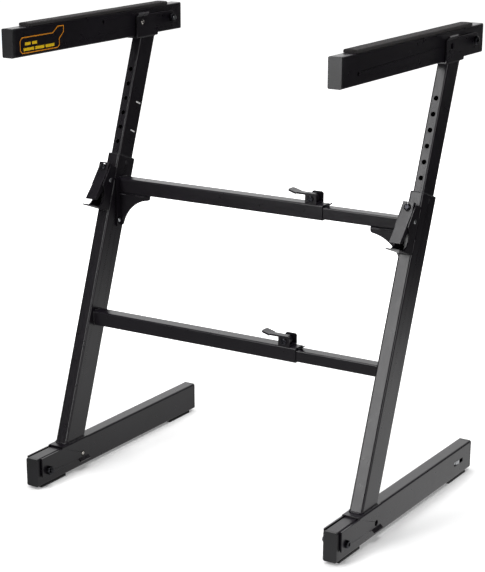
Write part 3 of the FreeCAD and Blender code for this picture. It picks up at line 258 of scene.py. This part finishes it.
def join(pieces):
    """Several pieces as one, which keeps the first one's name and stays selected."""
    select_only(pieces)
    if len(pieces) > 1:
        bpy.ops.object.join()
    return pieces[0]


def face_outwards():
    """Turn every face of the selected piece to the outside."""
    bpy.ops.object.mode_set(mode="EDIT")
    bpy.ops.mesh.select_all(action="SELECT")
    bpy.ops.mesh.normals_make_consistent(inside=False)
    bpy.ops.object.mode_set(mode="OBJECT")


def finish_piece(piece, material, body):
    """Give a modelled piece its material and let it ride on a body."""
    piece.data.materials.append(material)
    piece.data.shade_smooth()
    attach(piece, body)
    return piece


def flat_face(name, corners):
    """A face between corners in metres: a disc with as many points, each moved to its corner."""
    face = start_piece(name, bpy.ops.mesh.primitive_circle_add, vertices=len(corners),
                       radius=0.1, fill_type="NGON")
    points = [vertex.co.copy() for vertex in face.data.vertices]
    bpy.ops.object.mode_set(mode="EDIT")
    for point, corner in zip(points, corners):
        pick(face, "verts", lambda vert: (vert.co - point).length < 0.00001)
        bpy.ops.transform.translate(value=Vector(corner) - point)
    bpy.ops.object.mode_set(mode="OBJECT")
    return face


# ---------------------------------------------------------------- foam pads

FOAM_CORNER = 2.2  # the rounding of a pad's upper edges
FOAM_CROWN = (0.35, 0.12)  # how far a pad's shoulder and its quarter lie below its middle
FOAM_ENDS = [(0, 0.985, 0.90), (0.25, 0.995, 0.95), (0.8, 1, 0.99), (2, 1, 1)]
FOAM_STEP = 12


def foam_profile(half, thick):
    """One section across a pad: upright sides, rounded upper edges and a low crown."""
    shoulder, quarter = FOAM_CROWN
    profile = [(-half, 0), (-half, (thick - FOAM_CORNER) * 0.5)]
    profile += [(-half + FOAM_CORNER - FOAM_CORNER * math.cos(math.radians(a)),
                 thick - shoulder - FOAM_CORNER + FOAM_CORNER * math.sin(math.radians(a)))
                for a in range(0, 91, 15)]
    profile += [(-half * 0.4, thick - quarter), (0, thick)]
    return profile + [(-x, z) for x, z in reversed(profile[:-1])]


def foam_pad(side):
    """A strip of closed-cell foam along the arm, its ends cut square. It is a soft piece, so its
    form is laid section by section: the ends draw in a little (how far along, how wide, how
    tall), and the top is never quite even, as foam is that was pressed on by hand."""
    low, high = box_of(f"{side}_arm_pad")
    middle, thick, length = (low.x + high.x) / 2, high.z - low.z, high.y - low.y
    profile = foam_profile((high.x - low.x) / 2, thick)
    sections = FOAM_ENDS + [(y, 1, 1) for y in range(FOAM_STEP, int(length) - 8, FOAM_STEP)]
    sections += [(length - y, wide, tall) for y, wide, tall in reversed(FOAM_ENDS)]
    form = bmesh.new()
    rings = []
    for y, wide, tall in sections:
        sink = max(0, 0.12 * math.sin(y / 31) + 0.08 * math.sin(y / 13 + 1))
        rings.append([form.verts.new(in_metres(middle + x * wide, low.y + y,
                                               low.z + z * tall - sink * z / thick))
                      for x, z in profile])
    for first, second in zip(rings, rings[1:]):
        for i in range(len(profile)):
            j = (i + 1) % len(profile)
            form.faces.new((first[i], second[i], second[j], first[j]))
    form.faces.new(rings[0])
    form.faces.new(list(reversed(rings[-1])))
    bmesh.ops.recalc_face_normals(form, faces=form.faces)
    mesh = bpy.data.meshes.new(f"{side}_foam_pad")
    form.to_mesh(mesh)
    form.free()
    pad = bpy.data.objects.new(f"{side}_foam_pad", mesh)
    bpy.context.scene.collection.objects.link(pad)
    finish_piece(pad, MATERIALS["foam"], f"{side}_arm")
    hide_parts(f"{side}_arm_pad")
    mesh.set_sharp_from_angle(angle=math.radians(50))


# ---------------------------------------------------------------- welds

RIPPLE_LENGTH = 2.8
RIPPLE_FULLNESS = {0.5: 0.86, 0.25: 0.96}  # by how far along from the ripple's middle
RUN_OUT = (0.45, 0.63, 0.82)  # how full a bead is at the first quarters of its end ripple
CORNER_ROOM = math.tan(math.radians(45 / 2))  # what two runs that turn by 45 degrees leave free

LEG_LEAN = 70  # degrees up from the floor
LEG_LENGTH = 499  # along the leg's centre line
LEG_FOOT = Vector((0, -126.3, 57.3))  # where that line meets the foot channel
STRETCH = 1 / math.sin(math.radians(LEG_LEAN))  # of a leaning tube's section that is cut level

# A bead's radius, how much of its tube's corner it cuts off, and how far its centre line stands
# off the face that the tube is welded to.
BEAD_RADIUS = {"leg": 2.0, "post": 1.5, "crossbar": 1.7, "housing": 1.1, "gusset": 1.2}
BEAD_CORNER = {"leg": 3, "post": 2.6, "crossbar": 2.4}
BEAD_SEAT = {"leg": 0.3, "post": 0.2, "crossbar": 0.2}

LEG_HALF = (12.2, 25.2)  # half of the loop round the leg, across and front to back
POST_HALF = (9.7, 20)
CROSSBAR_ROOT = 0.3  # how far outside the crossbar's section its loop runs

# The lever housing's seams, out from the leg's centre line and down from its top.
HOUSING_SIDE, HOUSING_FRONT = 11.9, 25
HOUSING_SEAMS = ((24, 40), (72, 94))
HOUSING_BASE, HOUSING_BASE_HALF, HOUSING_BASE_FRONT = 97.9, 8, 25.3

GUSSET_SEAMS = ((8, 22), (42, 60))  # out from the leg, under the upper crossbar
GUSSET_HALF = 1.5  # half the gusset plate's thickness


def model_ripple():
    """One ripple of a weld bead, a millimetre long and a millimetre in radius, full in its
    middle. Every bead is a row of its copies."""
    ripple = start_piece("ripple", bpy.ops.mesh.primitive_cylinder_add, vertices=8,
                         radius=0.001, depth=0.001, end_fill_type="NOTHING")
    bpy.ops.object.mode_set(mode="EDIT")
    pick(ripple, "edges", lambda edge: abs(edge.verts[0].co.z - edge.verts[1].co.z) > 0.0005)
    bpy.ops.mesh.subdivide(number_cuts=3)
    for out, fullness in RIPPLE_FULLNESS.items():
        pick(ripple, "verts", lambda vert: abs(abs(vert.co.z) * 1000 - out) < 0.01)
        bpy.ops.transform.resize(value=(fullness, fullness, 1), center_override=(0, 0, 0))
    bpy.ops.object.mode_set(mode="OBJECT")
    return ripple


RIPPLE = model_ripple()


def taper_ends(run, count):
    """Run both ends of a row of ripples out to a blunt point and close them."""
    middle, half = (count - 1) / 2, count / 2
    bpy.ops.object.mode_set(mode="EDIT")
    for quarter, fullness in enumerate(RUN_OUT):
        reach = half - quarter / 4
        pick(run, "verts", lambda vert: abs(abs(vert.co.z * 1000 - middle) - reach) < 0.01)
        bpy.ops.transform.resize(value=(fullness, fullness, 1), center_override=(0, 0, 0))
    bpy.ops.mesh.select_all(action="SELECT")
    bpy.ops.mesh.fill_holes(sides=8)
    bpy.ops.object.mode_set(mode="OBJECT")


def lay_run(first, last, radius, tapered):
    """A straight run of bead from place to place: a row of ripples, turned into line."""
    way = last - first
    count = max(1, round(way.length / RIPPLE_LENGTH))
    run = RIPPLE.copy()
    run.data = RIPPLE.data.copy()
    bpy.context.scene.collection.objects.link(run)
    select_only([run])
    row = run.modifiers.new("row", "ARRAY")
    row.count = count
    row.relative_offset_displace = (0, 0, 1)
    row.use_merge_vertices = True
    row.merge_threshold = 0.00001
    bpy.ops.object.modifier_apply(modifier="row")
    if tapered:
        taper_ends(run, count)
    run.scale = (radius, radius, way.length / count)
    run.rotation_euler = way.to_track_quat("Z", "Y").to_euler()
    run.location = in_metres(*(first + way / count / 2))
    bpy.ops.object.transform_apply()
    return run


def weld_all_round(corners, radius):
    """A bead round a closed line whose corners turn by 45 degrees: its straight runs, bridged
    at each corner."""
    runs = []
    for first, last in zip(corners, corners[1:]):
        room = (last - first).normalized() * radius * CORNER_ROOM
        runs.append(lay_run(first + room, last - room, radius, False))
    bead = join(runs)
    bpy.ops.object.mode_set(mode="EDIT")
    for corner in corners[1:]:
        place = corner / 1000
        pick(bead, "edges", lambda edge: edge.is_boundary and
             ((edge.verts[0].co + edge.verts[1].co) / 2 - place).length < radius * 0.0012)
        bpy.ops.mesh.bridge_edge_loops()
    bpy.ops.object.mode_set(mode="OBJECT")
    return bead


def finish_weld(name, beads, body):
    """The beads of one joint as one coated piece."""
    weld = join(beads)
    weld.name = weld.data.name = name
    face_outwards()
    finish_piece(weld, MATERIALS["black_powder_coat"], body)


def cut_corner_loop(place, half_width, half_depth, corner, plane):
    """A closed rectangle with cut corners around a place, in the plane "xy" or "yz"."""
    w, d = half_width, half_depth
    flat = [(w - corner, -d), (w, -d + corner), (w, d - corner), (w - corner, d),
            (-w + corner, d), (-w, d - corner), (-w, -d + corner), (-w + corner, -d),
            (w - corner, -d)]
    if plane == "xy":
        return [place + Vector((a, b, 0)) for a, b in flat]
    return [place + Vector((0, a, b)) for a, b in flat]


def on_leg(side, across, out, drop):
    """A place by a leg: across its width, out of its centre line to the front, below its top."""
    low, high = box_of(f"{side}_leg_tube")
    lean = math.radians(LEG_LEAN)
    along = LEG_LENGTH - drop
    y = LEG_FOOT.y + along * math.cos(lean) - out * math.sin(lean)
    z = LEG_FOOT.z + along * math.sin(lean) + out * math.cos(lean)
    return Vector(((low.x + high.x) / 2 + across, y, z))


def weld_leg(side):
    """The bead round the leg's foot, where it stands on its channel."""
    across, deep = LEG_HALF
    foot = on_leg(side, 0, 0, LEG_LENGTH) + Vector((0, 0, BEAD_SEAT["leg"]))
    loop = cut_corner_loop(foot, across, deep * STRETCH, BEAD_CORNER["leg"], "xy")
    finish_weld(f"{side}_leg_weld", [weld_all_round(loop, BEAD_RADIUS["leg"])], f"{side}_frame")


def weld_housing(side):
    """Short seams down both sides of the lever housing, and one across its base."""
    seams = [(on_leg(side, across, HOUSING_FRONT, first), on_leg(side, across, HOUSING_FRONT, last))
             for across in (-HOUSING_SIDE, HOUSING_SIDE) for first, last in HOUSING_SEAMS]
    seams.append([on_leg(side, across, HOUSING_BASE_FRONT, HOUSING_BASE)
                  for across in (-HOUSING_BASE_HALF, HOUSING_BASE_HALF)])
    beads = [lay_run(first, last, BEAD_RADIUS["housing"], True) for first, last in seams]
    finish_weld(f"{side}_housing_weld", beads, f"{side}_frame")


def weld_post(side):
    """The bead round the post's top, under the web of the arm channel."""
    web = box_of(f"{side}_arm_channel")[0].z
    top = on_leg(side, 0, 0, LEG_LENGTH - (web - LEG_FOOT.z) * STRETCH)
    across, deep = POST_HALF
    loop = cut_corner_loop(top - Vector((0, 0, BEAD_SEAT["post"])), across, deep * STRETCH,
                           BEAD_CORNER["post"], "xy")
    finish_weld(f"{side}_post_weld", [weld_all_round(loop, BEAD_RADIUS["post"])], f"{side}_post")


def weld_crossbar(side, bar):
    """The bead round a crossbar's end, on the leg's inner face."""
    low, high = box_of(f"{bar}_crossbar_{WELDED_TUBE[side]}")
    face = low.x if side == "left" else high.x
    middle = (low + high) / 2
    middle.x = face + SIDES[side] * BEAD_SEAT["crossbar"]
    half = (high - low) / 2
    loop = cut_corner_loop(middle, half.y + CROSSBAR_ROOT, half.z + CROSSBAR_ROOT,
                           BEAD_CORNER["crossbar"], "yz")
    finish_weld(f"{side}_{bar}_bar_weld", [weld_all_round(loop, BEAD_RADIUS["crossbar"])],
                f"{side}_frame")


def weld_gusset(side):
    """Two short seams between the gusset's edge and the upper crossbar."""
    inward = SIDES[side]
    low, high = box_of(f"{side}_gusset")
    leg = low.x if side == "left" else high.x
    under = box_of(f"upper_crossbar_{WELDED_TUBE[side]}")[0].z
    middle = low.y + GUSSET_HALF
    beads = [lay_run(Vector((leg + inward * near, middle, under)),
                     Vector((leg + inward * far, middle, under)), BEAD_RADIUS["gusset"], True)
             for near, far in GUSSET_SEAMS]
    finish_weld(f"{side}_gusset_weld", beads, f"{side}_frame")


def weld_side_frame(side):
    """Everything that is welded in one side frame."""
    weld_leg(side)
    weld_housing(side)
    weld_post(side)
    weld_crossbar(side, "upper")
    weld_crossbar(side, "lower")
    weld_gusset(side)


# ---------------------------------------------------------------- screws

SCREW_RADIUS, SCREW_RIM = 3.9, 0.5
SCREW_DOME = [(3.6, 1.1), (2.9, 1.6), (2.0, 1.85), (1.5, 1.9), (1.35, 1.2), (0.4, 0.9)]
SCREW_PLACE = (4, 5.6, 10.2)  # from the gusset's edge at the leg, its front and its lowest point


def gusset_screw(side):
    """A plated pan-head screw over the boss in the gusset's flange. A cylinder is cut into rings
    a millimetre apart, and each ring is drawn to its radius and height: the rim, the dome and
    the socket."""
    facing = SIDES[side]
    low, high = box_of(f"{side}_gusset")
    edge = low.x if side == "left" else high.x
    inward, back, up = SCREW_PLACE
    x, y, z = edge + facing * inward, low.y + back, low.z + up
    rings = [(SCREW_RADIUS, 0), (SCREW_RADIUS, SCREW_RIM)] + SCREW_DOME
    tall = len(rings) - 1
    screw = start_piece(f"{side}_gusset_screw", bpy.ops.mesh.primitive_cylinder_add, vertices=24,
                        radius=SCREW_RADIUS / 1000, depth=tall / 1000,
                        location=in_metres(x + facing * tall / 2, y, z),
                        rotation=(0, math.radians(90), 0))
    bpy.ops.object.mode_set(mode="EDIT")
    pick(screw, "edges", lambda edge: abs(edge.verts[0].co.x - edge.verts[1].co.x) > 0.0005)
    bpy.ops.mesh.subdivide(number_cuts=tall - 1)
    for number, (radius, height) in enumerate(rings):
        pick(screw, "verts", lambda vert: abs((vert.co.x * 1000 - x) * facing - number) < 0.01)
        bpy.ops.transform.resize(value=(1, radius / SCREW_RADIUS, radius / SCREW_RADIUS),
                                 center_override=in_metres(x, y, z))
        bpy.ops.transform.translate(value=in_metres(facing * (height - number), 0, 0))
    bpy.ops.object.mode_set(mode="OBJECT")
    face_outwards()
    finish_piece(screw, MATERIALS["zinc_plate"], f"{side}_frame")
    screw.data.set_sharp_from_angle(angle=math.radians(40))


# ---------------------------------------------------------------- printed marks

INK_THICKNESS = 0.06
PANEL_LINE = 1.5
# The outer corners of the arm's outlined panel along Y and Z: a label shape with a raised tab.
PANEL_CORNERS = [(-138.75, 732.75), (-133.25, 736.6), (-133.25, 746.65), (-121.25, 756.65),
                 (-121.25, 767.25), (-137.2, 767.25), (-150.2, 758.25), (-228.3, 758.25),
                 (-233.75, 752.3), (-233.75, 737.7), (-228.3, 732.75)]
PANEL_BARS = {747.5: [(-221, -207), (-203.5, -191)],
              739: [(-225, -199), (-195.5, -173), (-169.5, -147)]}  # by row: from, to
PANEL_BAR_WIDTH = 4.6
HEIGHT_MARKS = [((77.6, 617.0), (89.2, 612.0)), ((59.6, 570.8), (70.6, 565.8))]
HEIGHT_MARK_WIDTH = 2.3


def dash(first, last, width, x):
    """A straight stroke between two places on a face across X."""
    first, last = Vector(first), Vector(last)
    way = (last - first).normalized()
    aside = Vector((-way.y, way.x)) * width / 2
    corners = (first - aside, last - aside, last + aside, first + aside)
    return flat_face("dash", [in_metres(x, *corner) for corner in corners])


def print_ink(name, shapes, ink, body):
    """Flat shapes that look towards +X as one thin coat of ink."""
    printed = join(shapes)
    printed.name = printed.data.name = name
    coat = printed.modifiers.new("coat", "SOLIDIFY")
    coat.thickness = INK_THICKNESS / 1000
    coat.offset = 1
    bpy.ops.object.modifier_apply(modifier="coat")
    face_outwards()
    finish_piece(printed, ink, body)
    printed.data.shade_flat()


def make_prints():
    """A plain outlined panel with bars on the left arm, and two height marks on the left post.
    None of them holds a letter."""
    arm_face = box_of("left_arm_tube")[1].x
    outline = flat_face("outline", [in_metres(arm_face, y, z) for y, z in PANEL_CORNERS])
    bpy.ops.object.mode_set(mode="EDIT")
    bpy.ops.mesh.select_mode(type="FACE")
    bpy.ops.mesh.select_all(action="SELECT")
    bpy.ops.mesh.inset(thickness=PANEL_LINE / 1000)
    bpy.ops.mesh.delete(type="FACE")
    bpy.ops.object.mode_set(mode="OBJECT")
    print_ink("left_arm_panel_outline", [outline], ORANGE_INK, "left_arm")
    bars = [dash((first, row), (last, row), PANEL_BAR_WIDTH, arm_face)
            for row, bars_in_row in PANEL_BARS.items() for first, last in bars_in_row]
    print_ink("left_arm_panel_bars", bars, YELLOW_INK, "left_arm")
    post_face = box_of("left_post")[1].x
    marks = [dash(first, last, HEIGHT_MARK_WIDTH, post_face) for first, last in HEIGHT_MARKS]
    print_ink("left_post_height_marks", marks, WHITE_INK, "left_post")


# ---------------------------------------------------------------- camera, lights and studio

PICTURE_WIDTH, PICTURE_HEIGHT = 485, 572
FOCAL_LENGTH = 1698.97  # in the picture's pixels, as the next two are
VIEW_CENTRE = (226.58, 423.34)
SENSOR_WIDTH = 36
CAMERA_PLACE = (1435.4, -2329.8, 1095.0)
CAMERA_DOWN, CAMERA_LEFT = 19.92, 32.45


def make_camera():
    """The photograph's camera, found by fitting the stand's edges to it."""
    data = bpy.data.cameras.new("camera")
    data.sensor_fit = "HORIZONTAL"
    data.sensor_width = SENSOR_WIDTH
    data.lens = FOCAL_LENGTH * SENSOR_WIDTH / PICTURE_WIDTH
    data.shift_x = (PICTURE_WIDTH / 2 - VIEW_CENTRE[0]) / PICTURE_WIDTH
    data.shift_y = (VIEW_CENTRE[1] - PICTURE_HEIGHT / 2) / PICTURE_WIDTH
    data.clip_start, data.clip_end = 0.1, 50
    camera = bpy.data.objects.new("camera", data)
    bpy.context.scene.collection.objects.link(camera)
    camera.location = in_metres(*CAMERA_PLACE)
    camera.rotation_euler = (math.radians(90 - CAMERA_DOWN), 0, math.radians(CAMERA_LEFT))
    bpy.context.scene.camera = camera


def lit_panel(name, corners, strength):
    """A flat studio panel that glows evenly and shines on the stand. No camera sees it."""
    panel = flat_face(name, corners)
    material = bpy.data.materials.new(name)
    material.use_nodes = True
    tree = material.node_tree
    tree.nodes.remove(tree.nodes["Principled BSDF"])
    glow = add_node(tree, "Emission", {"Color": WHITE, "Strength": strength})
    tree.links.new(glow.outputs[0], tree.nodes["Material Output"].inputs["Surface"])
    panel.data.materials.append(material)
    panel.visible_camera = False


def upright_panel(name, first, last, low, high, strength):
    """An upright panel over a line on the floor."""
    (ax, ay), (bx, by) = first, last
    corners = [(ax, ay, low), (bx, by, low), (bx, by, high), (ax, ay, high)]
    lit_panel(name, corners, strength)


def overhead_light(place, aim, size, power):
    """The large soft light above, which makes the shadows on the floor."""
    data = bpy.data.lights.new("overhead", "AREA")
    data.shape = "RECTANGLE"
    data.size, data.size_y = size
    data.energy = power
    light = bpy.data.objects.new("overhead", data)
    bpy.context.scene.collection.objects.link(light)
    light.location = place
    light.rotation_euler = (Vector(aim) - Vector(place)).to_track_quat("-Z", "Y").to_euler()
    light.visible_glossy = False


PAPER_GREY, PAPER_ROUGHNESS = 0.8, 0.6
PAPER_MIDDLE = (0, -0.3, 0)  # the paper's reach is measured from here, in metres
# Each of the next five is a field's start and end, and the light at each.
LIFT = {1: 0.5, 2: 1.5, 3: 0.18, 4: 1.0}  # by reach, the camera sees the paper rise to white
FALL = {1: 0.9, 2: 2.0, 3: 1, 4: 0.03}  # by reach, the paper that the coat mirrors falls to dark
BACK = {1: -0.9, 2: 0.1, 3: 0.3, 4: 0.9}  # how bright it is mirrored, from front to back
RIGHT = {1: -0.3, 2: 0.1, 3: 0.55, 4: 1}  # and from left to right
ROOM = {1: 0, 2: 1, 3: 0.02, 4: 1}  # the room's light on the stand, and as the camera sees it
WHITE = (1, 1, 1, 1)


def studio_paper():
    """Floor that the camera sees white with soft shadows, and that the stand's coat mirrors
    bright near the stand and darker away from it, as a lit sheet in a dim room does."""
    material = bpy.data.materials.new("studio_paper")
    material.use_nodes = True
    tree = material.node_tree
    shader = tree.nodes["Principled BSDF"]
    shader.inputs["Base Color"].default_value = (PAPER_GREY, PAPER_GREY, PAPER_GREY, 1)
    shader.inputs["Roughness"].default_value = PAPER_ROUGHNESS
    place = add_node(tree, "TexCoord").outputs["Object"]
    reach = add_node(tree, "VectorMath", {0: place, 1: PAPER_MIDDLE},
                     operation="DISTANCE").outputs["Value"]
    open_floor = add_node(tree, "MapRange", {0: reach, **LIFT},
                          interpolation_type="SMOOTHSTEP").outputs[0]
    lift = add_node(tree, "Emission", {"Color": WHITE, "Strength": open_floor})
    bright = add_node(tree, "AddShader", {0: shader.outputs[0], 1: lift.outputs[0]})
    near = add_node(tree, "MapRange", {0: reach, **FALL},
                    interpolation_type="SMOOTHSTEP").outputs[0]
    axes = add_node(tree, "SeparateXYZ", {0: place}).outputs
    back = add_node(tree, "MapRange", {0: axes["Y"], **BACK}).outputs[0]
    right = add_node(tree, "MapRange", {0: axes["X"], **RIGHT}).outputs[0]
    sides = add_node(tree, "Math", {0: near, 1: right}, operation="MULTIPLY").outputs[0]
    level = add_node(tree, "Math", {0: sides, 1: back}, operation="MULTIPLY").outputs[0]
    mirrored = add_node(tree, "Emission", {"Color": WHITE, "Strength": level})
    seen = add_node(tree, "LightPath").outputs["Is Camera Ray"]
    mixed = add_node(tree, "MixShader", {0: seen, 1: mirrored.outputs[0], 2: bright.outputs[0]})
    tree.links.new(mixed.outputs[0], tree.nodes["Material Output"].inputs["Surface"])
    return material


def dim_room():
    """A room that the camera sees white and that lends the stand hardly any light."""
    world = bpy.data.worlds.new("studio")
    world.use_nodes = True
    bpy.context.scene.world = world
    tree = world.node_tree
    seen = add_node(tree, "LightPath").outputs["Is Camera Ray"]
    strength = add_node(tree, "MapRange", {0: seen, **ROOM}).outputs[0]
    background = tree.nodes["Background"]
    background.inputs["Color"].default_value = WHITE
    tree.links.new(strength, background.inputs["Strength"])


def make_studio():
    """White paper below, a pale backdrop, three bright panels and a soft light above. Places
    are in metres."""
    dim_room()
    floor = start_piece("studio_floor", bpy.ops.mesh.primitive_plane_add, size=18)
    floor.data.materials.append(studio_paper())
    upright_panel("backdrop", (-5.5, 0.6), (1.2, 4.4), 0, 3.2, 1.2)
    upright_panel("front_panel", (-0.92, -1.8), (-0.40, -2.12), 0.3, 2.1, 7)
    lit_panel("upper_panel", [(-0.95, -1.75, 2.1), (-0.4, -1.95, 2.1), (-0.45, -0.5, 2.9),
                              (-1.15, -0.5, 2.9)], 6)
    upright_panel("edge_panel", (1.7, -1.55), (2.25, -0.5), 0.3, 2.0, 2.8)
    overhead_light((-0.1, 0.2, 3.4), (0, 0, 0), (2.4, 2.0), 120)


# ---------------------------------------------------------------- the whole scene

dress_frame()
for side_name in SIDES:
    foam_pad(side_name)
    gusset_screw(side_name)
    weld_side_frame(side_name)
bpy.data.objects.remove(RIPPLE)
make_prints()
make_camera()
make_studio()

scene = bpy.context.scene
scene.view_settings.view_transform = "Standard"
scene.render.film_transparent = False
